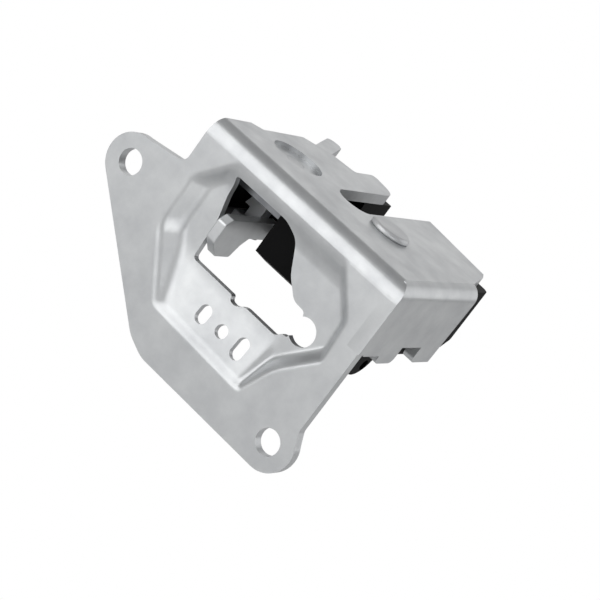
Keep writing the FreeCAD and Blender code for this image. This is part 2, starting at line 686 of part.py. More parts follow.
def make_spindle():
    body = new_body("release_spindle")
    at = ("pawl_run", "pawl_depth")
    left, right = "pawl_run - square / 2", "pawl_run + square / 2"
    front, back = "pawl_depth - square / 2", "pawl_depth + square / 2"
    pad_outline(body, "square_shank", "XY_Plane", "shank_foot", "%s - shank_foot" % BACKING_UNDER,
                rectangle(left, right, front, back))
    pad_circle(body, "round_shank", "XY_Plane", BACKING_UNDER, "%s - %s" % (LEVER_UNDER, BACKING_UNDER),
               at, "pawl_shank / 2")
    pad_outline(body, "lever_seat", "XY_Plane", LEVER_UNDER, "lever_sheet + level_gap",
                rectangle(left, right, front, back))
    pad_circle(body, "journal", "XY_Plane", FLANGE_UNDER, "sheet - dimple_depth", at, "journal / 2")
    pad_outline(body, "flare", "XZ_Plane", "pawl_depth - square / 2", "square", [
        (left, BACKING_UNDER), (right, BACKING_UNDER), (right, "blade_top"),
        ("pawl_run - square / 2 - 1.8", "blade_top")])
    return body


def make_key_lever():
    body = new_body("key_lever")
    pad_outline(body, "blade", "YZ_Plane", BLADE_LEFT, "lever_sheet", [
        ("blade_front", "blade_top - 1.8"),
        ("blade_front + 2.2", "blade_top"),
        ("pawl_depth + 4", "blade_top"),
        ("pawl_depth + 4", "blade_top - blade_height"),
        ("blade_tip_rear + 4.2", "blade_top - blade_height"),
        ("blade_tip_rear + 2.2", "blade_top - blade_height - 2.2"),
        ("blade_tip_rear + 0.6", "-blade_tip"),
        ("blade_front + 5", "-blade_tip"),
        ("blade_front", "-blade_tip + 4")])
    pad_outline(body, "foot", "XY_Plane", "blade_top - blade_height", "lever_sheet",
                rectangle("pawl_run - 4.4", BLADE_LEFT, "pawl_depth - 4", "pawl_depth + 4"))
    round_corners(body, "tip_round", "x", [
        ("blade_front", "blade_top - 1.8"),
        ("blade_front + 2.2", "blade_top"),
        ("blade_front", "-blade_tip + 4"),
        ("blade_front + 5", "-blade_tip"),
        ("blade_tip_rear + 0.6", "-blade_tip"),
        ("blade_tip_rear + 4.2", "blade_top - blade_height")], "blade_corner")
    cut_outline(body, "square_hole", "XY_Plane", "blade_top - blade_height - 1", "lever_sheet + 2",
                rectangle("pawl_run - square / 2", "pawl_run + square / 2",
                          "pawl_depth - square / 2", "pawl_depth + square / 2"))
    return body


def make_lever_clip():
    body = new_body("lever_clip")
    level = "blade_top - blade_height - 1"
    pad_circle(body, "disc", "XY_Plane", level, "1", ("pawl_run", "pawl_depth"), "square * 0.85")
    cut_outline(body, "hole", "XY_Plane", level + " - 1", "3",
                rectangle("pawl_run - square / 2", "pawl_run + square / 2",
                          "pawl_depth - square / 2", "pawl_depth + square / 2"))
    return body


def make_cable_lever():
    """The arm to the cable, drawn along its own length from the pivot and then turned."""
    body = new_body("lever_arm_plate")
    pad_outline(body, "arm", "XY_Plane", LEVER_UNDER, "lever_sheet", [
        ("0", "-lever_arm_root / 2"),
        ("lever_arm * 0.55", "-lever_arm_end / 2"),
        ("lever_arm", "-lever_arm_end / 2"),
        ("lever_arm", "lever_arm_end / 2"),
        ("lever_arm * 0.55", "lever_arm_end / 2"),
        ("0", "lever_arm_root / 2")])
    pad_circle(body, "hub", "XY_Plane", LEVER_UNDER, "lever_sheet", ("0", "0"), "pawl_hub")
    pad_outline(body, "ear", "XY_Plane", LEVER_UNDER, "lever_sheet", dog_outline("0"))
    pad_outline(body, "dog", "XY_Plane", PAWL_UNDER, "pawl_thickness + level_gap",
                dog_outline("dog_radius - 1.6"))
    round_corners(body, "end_round", "z", [
        ("lever_arm", "-lever_arm_end / 2"), ("lever_arm", "lever_arm_end / 2")],
        "lever_arm_end * 0.45")
    turn = FreeCAD.Rotation(FreeCAD.Vector(0, 0, 1), number("lever_arm_angle"))
    body.Placement = FreeCAD.Placement(
        FreeCAD.Vector(number("pawl_run"), number("pawl_depth"), 0), turn)
    doc.recompute()
    holes = new_body("lever_square")
    pad_outline(holes, "square", "XY_Plane", LEVER_UNDER + " - 1", "lever_sheet + 2",
                rectangle("pawl_run - square / 2", "pawl_run + square / 2",
                          "pawl_depth - square / 2", "pawl_depth + square / 2"))
    return join("Part::Cut", "cable_lever", body, holes)


def dog_outline(start):
    """A bar across the lever, at the dog's angle, from a radius to the dog's end."""
    angle = "(dog_angle - lever_arm_angle) * 1deg"
    corners = []
    for reach, side in ((start, "-1"), ("dog_radius + 1.6", "-1"), ("dog_radius + 1.6", "1"), (start, "1")):
        corners.append((
            "(%s) * cos(%s) - %s * dog_width / 2 * sin(%s)" % (reach, angle, side, angle),
            "(%s) * sin(%s) + %s * dog_width / 2 * cos(%s)" % (reach, angle, side, angle)))
    return corners


def make_pawl():
    body = new_body("pawl")
    run, depth = "pawl_run", "pawl_depth"

    def spot(right, back):
        return ("%s + %s" % (run, right), "%s + %s" % (depth, back))
    pad_outline(body, "arm", "XY_Plane", PAWL_UNDER, "pawl_thickness", [
        spot("nose_run", "nose_depth"),
        spot("nose_run - 0.2", "nose_depth + 3"),
        spot("nose_run - 5.3", "nose_depth + 4.5"),
        spot("-2.6", "nose_depth - 3"),
        spot("-5", "nose_depth - 5.5"),
        spot("-5", "nose_depth - 9"),
        spot("-pawl_hub * 0.9", "1"),
        spot("0", "-pawl_hub"),
        spot("pawl_hub * 0.9", "1"),
        spot("nose_run - 5.1", "nose_depth - 8.8"),
        spot("nose_run - 4.9", "nose_depth - 3.3"),
        spot("nose_run - 3.7", "nose_depth + 1.4")])
    pad_circle(body, "hub", "XY_Plane", PAWL_UNDER, "pawl_thickness", (run, depth), "pawl_hub")
    cut_circle(body, "bore", "XY_Plane", PAWL_UNDER + " - 1", "pawl_thickness + 2",
               (run, depth), "pawl_shank / 2 + running_gap")
    round_corners(body, "back_round", "z", [
        spot("nose_run - 0.2", "nose_depth + 3"), spot("nose_run - 5.3", "nose_depth + 4.5")],
        "nose_corner")
    return body


def make_spindle_bush():
    body = new_body("spindle_bush")
    at = ("pawl_run", "pawl_depth")
    pad_circle(body, "tube", "XY_Plane", BACKING_UNDER, "backing_sheet", at,
               "pawl_shank / 2 + bush_wall")
    cut_circle(body, "bore", "XY_Plane", BACKING_UNDER + " - 1", "backing_sheet + 2", at,
               "pawl_shank / 2 + running_gap")
    return body


# How far a coil climbs in one turn, in wire thicknesses.
COIL_PITCH = 1.25


def make_spring(name, centre, level, radius, wire, turns, ends):
    """A coil of round wire about a vertical axis, with straight ends given as point pairs."""
    pitch = wire * COIL_PITCH
    base = FreeCAD.Vector(centre[0], centre[1], level + wire / 2)
    helix = Part.makeHelix(pitch, pitch * turns, radius)
    section = Part.Wire(Part.Circle(FreeCAD.Vector(radius, 0, 0), FreeCAD.Vector(0, 1, 0),
                                    wire / 2).toShape())
    coil = Part.Wire(helix.Edges).makePipeShell([section], True, True)
    coil.translate(base)
    for start, stop in ends:
        run = stop.sub(start)
        coil = coil.fuse(Part.makeCylinder(wire / 2, run.Length, start, run))
    feature = doc.addObject("Part::Feature", name)
    feature.Shape = coil
    feature.Label = name
    return feature


def make_claw_spring():
    """Its upper end stands up through the backing plate, below the hole of the open claw."""
    wire, radius = number("spring_wire"), number("claw_coil")
    turns = number("spring_turns - claw_open / 360")
    x, y = number("claw_run"), number("claw_depth")
    level = number("rivet_foot + rivet_foot_height") + 0.1
    rise = wire * COIL_PITCH * turns
    high = level + wire / 2 + rise
    up = FreeCAD.Vector(x + radius * math.cos(2 * math.pi * turns),
                        y + radius * math.sin(2 * math.pi * turns), high)
    top = FreeCAD.Vector(up.x, up.y, number(CLAW_UNDER + " - level_gap"))
    low = FreeCAD.Vector(x + radius, y, level + wire / 2)
    out = FreeCAD.Vector(x + radius, y - number("claw_spring_tail"), level + wire / 2)
    return make_spring("claw_spring", (x, y), level, radius, wire, turns, [(up, top), (low, out)])


def make_pawl_spring():
    """Two turns on the peg, one end behind the arm of the pawl, the other at the front wall."""
    wire, radius = number("pawl_wire"), number("peg / 2 + pawl_wire / 2 + 0.15")
    x, y = number("pawl_run - peg_offset"), number("pawl_depth - peg_setback")
    level = number(BACKING_TOP) + 0.3
    turns = number("pawl_spring_turns")
    start = FreeCAD.Vector(x + radius, y, level + wire / 2)
    front = FreeCAD.Vector(x + radius, number("house_front + house_wall") + 0.4, level + wire / 2)
    high = level + wire / 2 + wire * COIL_PITCH * turns
    return make_spring("pawl_spring", (x, y), level, radius, wire, turns, [
        (start, front),
        (FreeCAD.Vector(x - radius, y, high - wire * 0.6), FreeCAD.Vector(
            x - radius, number("pawl_depth + nose_depth - 6"), high - wire * 0.6))])


def make_screws():
    screws = None
    for index, spot in enumerate(SCREW_SPOTS):
        body = new_body("screw_%d" % index)
        pad_circle(body, "head", "XY_Plane", "house_bottom", "screw_head_height", spot,
                   "screw_head / 2")
        pad_circle(body, "shank", "XY_Plane", "house_bottom + screw_head_height",
                   "%s - house_bottom - screw_head_height" % BACKING_TOP, spot, "screw_shank / 2")
        screws = body if screws is None else join(
            "Part::Fuse", "case_screws" if index == 2 else "screw_pair", screws, body)
    return screws


def make_case():
    outer = new_body("case_outer")
    top = "%s - house_bottom" % FLANGE_UNDER
    pad_outline(outer, "block", "XY_Plane", "house_bottom", top, [
        ("house_left", "house_front"),
        (HOUSE_RIGHT, "house_front"),
        (HOUSE_RIGHT, "house_rear"),
        ("tongue_left + 0.5", "house_rear"),
        ("tongue_left + 0.5", "flange_rear_left + 1"),
        ("house_left + 5", "flange_rear_left - 1"),
        ("house_left", "flange_rear_left - 6")])
    cut_outline(outer, "front_chamfer", "YZ_Plane", "house_left - 1", "wall_outside",
                [("house_front - 1", "house_bottom + front_chamfer_rise + 0.35"),
                 ("house_front - 1", "house_bottom - 1"),
                 ("house_front + front_chamfer_run", "house_bottom - 1"),
                 ("house_front + front_chamfer_run", "house_bottom")])
    cut_outline(outer, "rear_chamfer", "YZ_Plane", "house_left - 1", "wall_outside",
                [("house_rear + 1", "house_bottom + rear_chamfer_rise + 0.8"),
                 ("house_rear - rear_chamfer_run", "house_bottom"),
                 ("house_rear - rear_chamfer_run", "house_bottom - 1"),
                 ("house_rear + 1", "house_bottom - 1")])
    cheek = "house_front + 1.4 + cheek_radius"
    pad_circle(outer, "cheek", "YZ_Plane", HOUSE_RIGHT + " - cheek_wall", "cheek_wall",
               (cheek, "house_bottom + 0.2"), "cheek_radius")

    room = new_body("case_room")
    depth = "%s - %s + 1" % (FLANGE_UNDER, FLOOR_TOP)
    pad_outline(room, "front_room", "XY_Plane", FLOOR_TOP, depth,
                rectangle("house_left + house_wall", HOUSE_RIGHT + " - house_wall",
                          "house_front + house_wall", "jaw_front"))
    pad_outline(room, "right_room", "XY_Plane", FLOOR_TOP, depth,
                rectangle(SLOT_RIGHT + " + channel_wall", HOUSE_RIGHT + " - house_wall",
                          "jaw_front - 1", "house_rear - rear_chamfer_run + 0.5"))
    pad_outline(room, "channel", "XY_Plane", FLOOR_TOP + " + 0.6", depth,
                rectangle(SLOT_LEFT, SLOT_RIGHT, "jaw_front - 1", "house_rear + 1"))
    pad_outline(room, "jaw_gap", "XY_Plane", CLAW_UNDER + " - level_gap", depth,
                rectangle(SLOT_RIGHT + " - 1", SLOT_RIGHT + " + channel_wall + 1",
                          "jaw_front - 1", "claw_depth + claw_sweep + house_gap"))
    pad_outline(room, "nose_room", "XY_Plane", FLOOR_TOP, depth,
                rectangle("house_left + 12", SLOT_LEFT + " - channel_wall",
                          "jaw_front - 1", "jaw_front + 3"))
    pad_outline(room, "lever_way", "XY_Plane", LEVER_UNDER + " - 2 * level_gap", "9", [
        ("house_left - 1", "pawl_depth - 6"),
        ("house_left + 6", "pawl_depth - 6"),
        ("tongue_left + 5", "pawl_depth"),
        ("tongue_left + 2.5", "house_rear + 1"),
        ("house_left - 1", "house_rear + 1")])
    pad_outline(room, "window", "XY_Plane", "house_bottom - 9", "window_top - house_bottom + 9",
                rectangle("window_left", "window_right", "house_front - 1", "window_rear"))
    pad_circle(room, "cheek_bore", "YZ_Plane", HOUSE_RIGHT + " - cheek_wall - 1", "cheek_wall + 2",
               (cheek + " + 3.2", "house_bottom - cheek_radius * 0.5"), "cheek_hole / 2")

    shell = join("Part::Cut", "case_shell", outer, room)
    posts = new_body("case_posts")
    for index, spot in enumerate(SCREW_SPOTS):
        pad_circle(posts, "boss_%d" % index, "XY_Plane", "house_bottom",
                   "%s - house_bottom" % BACKING_UNDER, spot, "screw_boss / 2")
    pad_outline(posts, "buffer_rib", "XY_Plane", "house_bottom", "%s - house_bottom" % BACKING_UNDER,
                rectangle(SLOT_LEFT, SLOT_RIGHT, "slot_end - 1.8", "slot_end"))
    pad_outline(posts, "stop_post", "XY_Plane", "house_bottom", "%s - house_bottom" % LEVER_TOP,
                rectangle("claw_run + stop_run", "claw_run + stop_run + 4",
                          "claw_depth + claw_sweep - 6", "house_rear - rear_chamfer_run"))
    solid = join("Part::Fuse", "case_solid", shell, posts)
    bores = new_body("case_bores")
    for index, spot in enumerate(SCREW_SPOTS):
        pad_circle(bores, "bore_%d" % index, "XY_Plane", "house_bottom - 1", "20", spot,
                   "screw_shank / 2 + running_gap")
        pad_circle(bores, "seat_%d" % index, "XY_Plane", "house_bottom - 1", "screw_head_height + 1",
                   spot, "screw_head / 2 + running_gap")
    return join("Part::Cut", "case", solid, bores)


def make_pad(name, level, height, corners):
    body = new_body(name)
    pad_outline(body, "pad", "XY_Plane", level, height, corners)
    return body


def make_striker_buffer():
    return make_pad("striker_buffer", FLOOR_TOP + " + 0.6", "%s - %s - 0.9" % (BACKING_UNDER, FLOOR_TOP),
                    rectangle(SLOT_LEFT + " + 0.8", SLOT_RIGHT + " - 0.8", "slot_end",
                              "slot_end + buffer_thickness"))


def make_claw_stop_pad():
    return make_pad("claw_stop_pad", CLAW_UNDER, "claw_thickness",
                    rectangle("claw_run + stop_run - 1.4", "claw_run + stop_run",
                              "claw_depth + claw_sweep - 5", "claw_depth + claw_sweep"))


bracket = make_bracket()
claw = make_claw()
PARTS = [
    bracket,
    make_case(),
    make_backing_plate(),
    make_spring_peg(),
    claw,
    make_claw_cover(claw),
    make_claw_bush(),
    make_claw_rivet(),
    make_claw_spring(),
    make_pawl(),
    make_pawl_spring(),
    make_spindle(),
    make_spindle_bush(),
    make_key_lever(),
    make_lever_clip(),
    make_cable_lever(),
    make_striker_buffer(),
    make_claw_stop_pad(),
    make_screws(),
]
doc.recompute()
faults = ["%s %s" % (item.Name, item.State) for item in doc.Objects
          if "Invalid" in item.State or "Error" in item.State]
for piece in PARTS:
    if piece.Shape.isNull() or not piece.Shape.isValid():
        faults.append("%s has no valid shape" % piece.Label)
if faults:
    raise ValueError("; ".join(faults))

os.makedirs("parts", exist_ok=True)
for piece in PARTS:
    piece.Shape.exportStep("parts/%s.step" % piece.Label)
    print(piece.Label, len(piece.Shape.Solids), round(piece.Shape.Volume, 1))
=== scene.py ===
# %% [markdown]
# This lesson dresses a trunk lock. Its solids come packed from the CAD model, all in one frame
# in metres: X runs along the fold of the bracket, Y goes back from the mounting face and Z is
# up. The frame is loaded first, and its box is kept, to set the floor below it.

import math

import bmesh
import bpy
from mathutils import Matrix, Vector


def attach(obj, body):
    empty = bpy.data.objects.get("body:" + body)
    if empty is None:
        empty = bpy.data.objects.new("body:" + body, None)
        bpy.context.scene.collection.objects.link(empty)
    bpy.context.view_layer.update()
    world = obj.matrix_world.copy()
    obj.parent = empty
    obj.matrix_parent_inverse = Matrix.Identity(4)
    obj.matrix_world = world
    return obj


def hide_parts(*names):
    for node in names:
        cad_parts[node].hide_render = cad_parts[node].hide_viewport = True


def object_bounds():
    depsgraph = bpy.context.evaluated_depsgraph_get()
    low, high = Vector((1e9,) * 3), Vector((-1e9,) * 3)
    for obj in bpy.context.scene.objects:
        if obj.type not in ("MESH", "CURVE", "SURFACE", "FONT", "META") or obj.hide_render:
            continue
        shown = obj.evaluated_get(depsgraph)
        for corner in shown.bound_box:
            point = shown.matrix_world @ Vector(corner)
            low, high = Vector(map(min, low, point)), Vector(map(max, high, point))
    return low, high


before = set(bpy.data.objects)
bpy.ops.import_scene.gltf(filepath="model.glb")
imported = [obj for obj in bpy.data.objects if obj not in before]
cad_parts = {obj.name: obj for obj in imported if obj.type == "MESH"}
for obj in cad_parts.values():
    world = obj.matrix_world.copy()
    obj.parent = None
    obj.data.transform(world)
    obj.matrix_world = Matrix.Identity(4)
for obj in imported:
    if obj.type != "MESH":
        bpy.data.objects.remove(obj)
cad_low, cad_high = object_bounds()
MM = 0.001

# %% [markdown]
# Colours are written as the sRGB hex values that a paint program shows. Blender's sockets
# want linear light, so one function turns them. A second one adds a node with its settings
# and links, which keeps each material short enough to read as a recipe.

# %% Colour and node helpers


def linear(hex_colour):
    """The linear RGBA colour of an sRGB hex value such as "c8cbce"."""
    channels = [int(hex_colour[i:i + 2], 16) / 255 for i in (0, 2, 4)]
    return [c / 12.92 if c <= 0.04045 else ((c + 0.055) / 1.055) ** 2.4 for c in channels] + [1.0]


def add_node(tree, kind, settings=None, inputs=None):
    """Adds a shader node. An input is a value, or a link given as a (node, output) pair."""
    node = tree.nodes.new(kind)
    for name, value in (settings or {}).items():
        setattr(node, name, value)
    for name, value in (inputs or {}).items():
        if isinstance(value, tuple) and isinstance(value[0], bpy.types.Node):
            tree.links.new(value[0].outputs[value[1]], node.inputs[name])
        else:
            node.inputs[name].default_value = value
    return node


def start_material(name):
    """A new node material, with its tree, its main shader and its object coordinates."""
    material = bpy.data.materials.new(name)
    material.use_nodes = True
    tree = material.node_tree
    shader = tree.nodes["Principled BSDF"]
    place = add_node(tree, "ShaderNodeTexCoord")
    return material, tree, shader, place


def ramp(tree, source, stops):
    """A colour ramp on a node's factor, its stops given as (place, hex colour) pairs."""
    node = add_node(tree, "ShaderNodeValToRGB", None, {"Fac": source})
    while len(node.color_ramp.elements) < len(stops):
        node.color_ramp.elements.new(0.5)
    for element, (spot, colour) in zip(node.color_ramp.elements, stops):
        element.position = spot
        element.color = linear(colour)
    return node


def per_metre(millimetres):
    """The texture scale at which one feature of a noise is this many millimetres wide."""
    return 1000 / millimetres


# %% [markdown]
# The bracket and the levers are cold rolled steel with a bright zinc plating. Fresh zinc is a
# pale satin metal, a little blue, with faint cloudy patches from the bath and a very fine
# grain from the rolled sheet. So the colour and the roughness both follow a soft noise nine
# millimetres wide, and a fine stretched noise gives the grain as a slight bump. The real grain
# is too fine for the picture, so it is drawn coarser: 0.8 mm long, and on the plate a sixth of
# that across. The film over the zinc scatters some light, so it isn't quite a full metal. The
# rivet and the spindle get a second finish, which is a little paler and mirrors less.

# %% Zinc plated sheet


def zinc_plated(name, pale, cloudy, low_rough, high_rough, metal):
    """A plated sheet, from its two colours, its range of roughness and how metallic it is."""
    material, tree, shader, place = start_material(name)
    clouds = add_node(tree, "ShaderNodeTexNoise", None, {
        "Vector": (place, "Object"), "Scale": per_metre(9), "Detail": 5.0, "Roughness": 0.62})
    colour = ramp(tree, (clouds, "Fac"), [(0.32, cloudy), (0.68, pale)])
    tree.links.new(colour.outputs["Color"], shader.inputs["Base Color"])
    rough = add_node(tree, "ShaderNodeMapRange", None, {
        "Value": (clouds, "Fac"), "From Min": 0.3, "From Max": 0.7,
        "To Min": high_rough, "To Max": low_rough})
    tree.links.new(rough.outputs["Result"], shader.inputs["Roughness"])
    stretch = add_node(tree, "ShaderNodeMapping", None, {
        "Vector": (place, "Object"), "Scale": (1.0, 1.0, 6.0)})
    grain = add_node(tree, "ShaderNodeTexNoise", None, {
        "Vector": (stretch, "Vector"), "Scale": per_metre(0.8), "Detail": 3.0})
    bump = add_node(tree, "ShaderNodeBump", None, {
        "Strength": 0.05, "Distance": 0.05 * MM, "Height": (grain, "Fac")})
    tree.links.new(bump.outputs["Normal"], shader.inputs["Normal"])
    shader.inputs["Metallic"].default_value = metal
    return material


ZINC = zinc_plated("zinc_plated_sheet", "d3d5d6", "c3c5c7", 0.30, 0.37, 0.7)
BRIGHT_ZINC = zinc_plated("bright_zinc", "d6d7d8", "c9cbcd", 0.36, 0.44, 0.45)
print("zinc materials:", ZINC.name, BRIGHT_ZINC.name)

# %% [markdown]
# The inner plate, claw and pawl are hardened steel, darker because they are only oiled. The
# springs are drawn wire, darker still. Both are full metals. The film of oil is uneven over some
# five millimetres, which shows as a slight change of colour and gloss.

# %% Oiled steel and spring wire


def oiled_steel(name, pale, dark, roughness):
    """A bare steel under a thin film of oil, from its two colours and its mean roughness."""
    material, tree, shader, place = start_material(name)
    film = add_node(tree, "ShaderNodeTexNoise", None, {
        "Vector": (place, "Object"), "Scale": per_metre(5), "Detail": 4.0})
    colour = ramp(tree, (film, "Fac"), [(0.35, dark), (0.65, pale)])
    tree.links.new(colour.outputs["Color"], shader.inputs["Base Color"])
    rough = add_node(tree, "ShaderNodeMapRange", None, {
        "Value": (film, "Fac"), "To Min": roughness - 0.06, "To Max": roughness + 0.08})
    tree.links.new(rough.outputs["Result"], shader.inputs["Roughness"])
    shader.inputs["Metallic"].default_value = 1.0
    return material


DARK_STEEL = oiled_steel("oiled_steel", "8b8d90", "74767a", 0.38)
SPRING_WIRE = oiled_steel("drawn_wire", "6c6d70", "55565a", 0.3)
print("steel materials:", DARK_STEEL.name, SPRING_WIRE.name)

# %% [markdown]
# The case is injection moulded glass filled nylon. Its black is a very dark grey, and the
# spark eroded mould leaves a fine even grain that scatters the light. The real grain is finer
# than the picture can show, so it is drawn about half a millimetre wide. Nylon without filler,
# as in the bushes, is milky and a little smoother. Rubber is the dullest of the three.

# %% Moulded plastics and rubber


def moulded(name, pale, dark, roughness, grain_mm, depth, gloss=0.5):
    """A moulded surface, from its two colours, its roughness, its grain and its gloss."""
    material, tree, shader, place = start_material(name)
    patch = add_node(tree, "ShaderNodeTexNoise", None, {
        "Vector": (place, "Object"), "Scale": per_metre(12), "Detail": 3.0})
    colour = ramp(tree, (patch, "Fac"), [(0.35, dark), (0.65, pale)])
    tree.links.new(colour.outputs["Color"], shader.inputs["Base Color"])
    grain = add_node(tree, "ShaderNodeTexNoise", None, {
        "Vector": (place, "Object"), "Scale": per_metre(grain_mm), "Detail": 2.0})
    bump = add_node(tree, "ShaderNodeBump", None, {
        "Strength": depth, "Distance": 0.05 * MM, "Height": (grain, "Fac")})
    tree.links.new(bump.outputs["Normal"], shader.inputs["Normal"])
    shader.inputs["Roughness"].default_value = roughness
    shader.inputs["IOR"].default_value = 1.5
    shader.inputs["Specular IOR Level"].default_value = gloss
    return material


NYLON = moulded("black_nylon", "0b0b0c", "070707", 0.5, 0.5, 0.35, 0.07)
COATING = moulded("claw_coating", "202124", "191a1c", 0.4, 0.5, 0.2)
MILKY_NYLON = moulded("milky_nylon", "d9d6cc", "cfcbc0", 0.4, 0.6, 0.15)
RUBBER = moulded("moulded_rubber", "1b1b1c", "141415", 0.75, 0.4, 0.3)
print("plastics:", NYLON.name, COATING.name, MILKY_NYLON.name, RUBBER.name)

# %% [markdown]
# Each solid of the frame takes the finish of its real piece. The solids keep their shapes:
# only the material in their slots is changed. The six outer pieces aren't in this list, because
# they get theirs with their rounded copies.

# %% Finishes of the solids
FINISHES = {
    "backing_plate": DARK_STEEL,
    "spring_peg": DARK_STEEL,
    "claw": DARK_STEEL,
    "claw_cover": COATING,
    "claw_bush": MILKY_NYLON,
    "claw_spring": SPRING_WIRE,
    "pawl": DARK_STEEL,
    "pawl_spring": SPRING_WIRE,
    "spindle_bush": MILKY_NYLON,
    "lever_clip": SPRING_WIRE,
    "striker_buffer": RUBBER,
    "claw_stop_pad": RUBBER,
    "case_screws": DARK_STEEL,
}
for node_name, finish in FINISHES.items():
    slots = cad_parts[node_name].material_slots
    for slot in slots:
        slot.material = finish
print("finished solids:", len(FINISHES))

# %% [markdown]
# A stamped or moulded piece has no knife edges: the press rolls them and the mould rounds
# them, and these small rounds catch the light. Some corners are rounded much further, in plan.
# Such a corner is an edge along Z, so it is found by its place and gets a bevel of its own.

# %% One larger corner
SHARP = math.radians(28)
CORNER_REACH = 0.15


def round_corner(piece, place, width_mm):
    """Bevels the edges along Z that stand at one place of the piece, given as X and Y."""
    bpy.ops.object.mode_set(mode="EDIT")
    mesh = bmesh.from_edit_mesh(piece.data)
    for item in list(mesh.verts) + list(mesh.edges) + list(mesh.faces):
        item.select = False
    found = 0
    for edge in mesh.edges:
        ends = [vertex.co / MM for vertex in edge.verts]
        beside = max(math.hypot(end.x - place[0], end.y - place[1]) for end in ends)
        if beside < CORNER_REACH and abs(ends[0].z - ends[1].z) > 1:
            edge.select_set(True)
            found += 1
    bmesh.update_edit_mesh(piece.data)
    if found:
        bpy.ops.mesh.bevel(offset=width_mm * MM, segments=6, affect="EDGES")
    bpy.ops.object.mode_set(mode="OBJECT")
    print(piece.name, "corner", place, "edges:", found)


# %% [markdown]
# A bevel shares its outer points with the flat face beside it, and smooth shading would bend
# the light over the whole flat. Weighted normals let the large face win, so it stays flat, and
# only the narrow round is seen to turn.

# %% Even shading


def even_shading(piece):
    """Smooths the rolled edges, but keeps the flat faces beside them flat to the light."""
    bpy.ops.object.select_all(action="DESELECT")
    piece.select_set(True)
    bpy.context.view_layer.objects.active = piece
    bpy.ops.object.shade_smooth_by_angle(angle=SHARP)
    weigh = piece.modifiers.new("flat_faces_first", "WEIGHTED_NORMAL")
    weigh.mode = "FACE_AREA"
    weigh.weight = 100
    weigh.keep_sharp = True
    bpy.ops.object.modifier_apply(modifier=weigh.name)


# %% [markdown]
# The solid is copied, its loose triangles are merged and its flat faces joined, and a narrow
# bevel runs along every sharp edge. The copy then stands in for the solid, which stays in the
# frame for its collision, hidden. The head of the rivet and the spindle get wider rounds than
# the sheet.

# %% Rounded copies of the outer pieces
MERGE = 0.002
FLAT = math.radians(1.0)


def rounded_copy(node_name, width_mm, segments, finish, body, corners=()):
    """A copy of a solid with rounded edges, which replaces the solid in the render. Each corner
    is given by its place and its larger width."""
    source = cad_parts[node_name]
    bpy.ops.object.select_all(action="DESELECT")
    piece = bpy.data.objects.new(node_name + "_shell", source.data.copy())
    bpy.context.collection.objects.link(piece)
    mesh = bmesh.new()
    mesh.from_mesh(piece.data)
    bmesh.ops.remove_doubles(mesh, verts=mesh.verts, dist=MERGE * MM)
    bmesh.ops.dissolve_limit(mesh, angle_limit=FLAT, verts=mesh.verts, edges=mesh.edges)
    mesh.to_mesh(piece.data)
    mesh.free()
    piece.select_set(True)
    bpy.context.view_layer.objects.active = piece
    for place, corner_mm in corners:
        round_corner(piece, place, corner_mm)
    bevel = piece.modifiers.new("rolled_edges", "BEVEL")
    bevel.width = width_mm * MM
    bevel.segments = segments
    bevel.limit_method = "ANGLE"
    bevel.angle_limit = SHARP
    bpy.ops.object.modifier_apply(modifier=bevel.name)
    even_shading(piece)
    piece.data.materials.clear()
    piece.data.materials.append(finish)
    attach(piece, body)
    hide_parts(node_name)
    print(piece.name, "faces:", len(piece.data.polygons))
    return piece


rounded_copy("case", 0.4, 2, NYLON, "frame", [((73.95, 61.5), 2.4)])
rounded_copy("claw_rivet", 0.6, 4, BRIGHT_ZINC, "frame")
rounded_copy("release_spindle", 0.8, 4, BRIGHT_ZINC, "release")
rounded_copy("key_lever", 0.3, 3, ZINC, "release")
rounded_copy("cable_lever", 0.3, 2, ZINC, "release")
bracket_shell = rounded_copy("bracket", 0.35, 3, ZINC, "frame",
                             [((38.0, 59.5), 4.2)])

# %% [markdown]
# The recess is drawn into the sheet with a blunt punch, so its rim and its floor run into each
# other in soft radii. Flat faces with a bevel would look cut, not pressed. So a fine grid is
# taken, and each point is pushed back by the depth of the pressing there: the least of the
# wall slopes, the floor and the ramp, blended where they meet. It first needs the rim, with the
# run of the wall behind each of its edges, and three helpers for outlines in millimetres.

# %% The rim of the recess and its outlines
RIM = [(24.0, 17.6), (61.5, 17.6), (70.4, 7.5), (71.4, -3.5), (62.6, -13.5), (58.6, -23.2),
       (27.9, -22.4), (16.4, -6.3), (16.4, 8.2)]
WALL_RUNS = [5.0, 2.4, 2.2, 2.8, 3.2, 2.6, 4.6, 3.8, 2.6]
SEAM_MARGIN = 1.2
SHEET = 3.0


def edges_of(outline):
    """Each edge of a clockwise outline as its first corner and its inward direction."""
    found = []
    for (x, z), (next_x, next_z) in zip(outline, outline[1:] + outline[:1]):
        run = Vector((next_x - x, next_z - z)).normalized()
        found.append((Vector((x, z)), Vector((run.y, -run.x))))
    return found


def grown(outline, margin):
    """The outline with every edge moved outwards by the margin."""
    sides = edges_of(outline)
    corners = []
    for (start_a, in_a), (start_b, in_b) in zip(sides[-1:] + sides[:-1], sides):
        across = in_a.x * in_b.y - in_a.y * in_b.x
        reach_a = in_a.dot(start_a) - margin
        reach_b = in_b.dot(start_b) - margin
        corners.append(((reach_a * in_b.y - reach_b * in_a.y) / across,
                        (in_a.x * reach_b - in_b.x * reach_a) / across))
    return corners


def softened(outline, radius, steps=5):
    """The outline with every corner cut off by a small curve."""
    points = []
    count = len(outline)
    for index in range(count):
        corner = Vector(outline[index])
        before, after = Vector(outline[index - 1]), Vector(outline[(index + 1) % count])
        reach = min(radius, 0.45 * (before - corner).length, 0.45 * (after - corner).length)
        first = corner + (before - corner).normalized() * reach
        last = corner + (after - corner).normalized() * reach
        for step in range(steps + 1):
            part = step / steps
            points.append(tuple((1 - part) ** 2 * first + 2 * part * (1 - part) * corner
                                + part ** 2 * last))
    return points


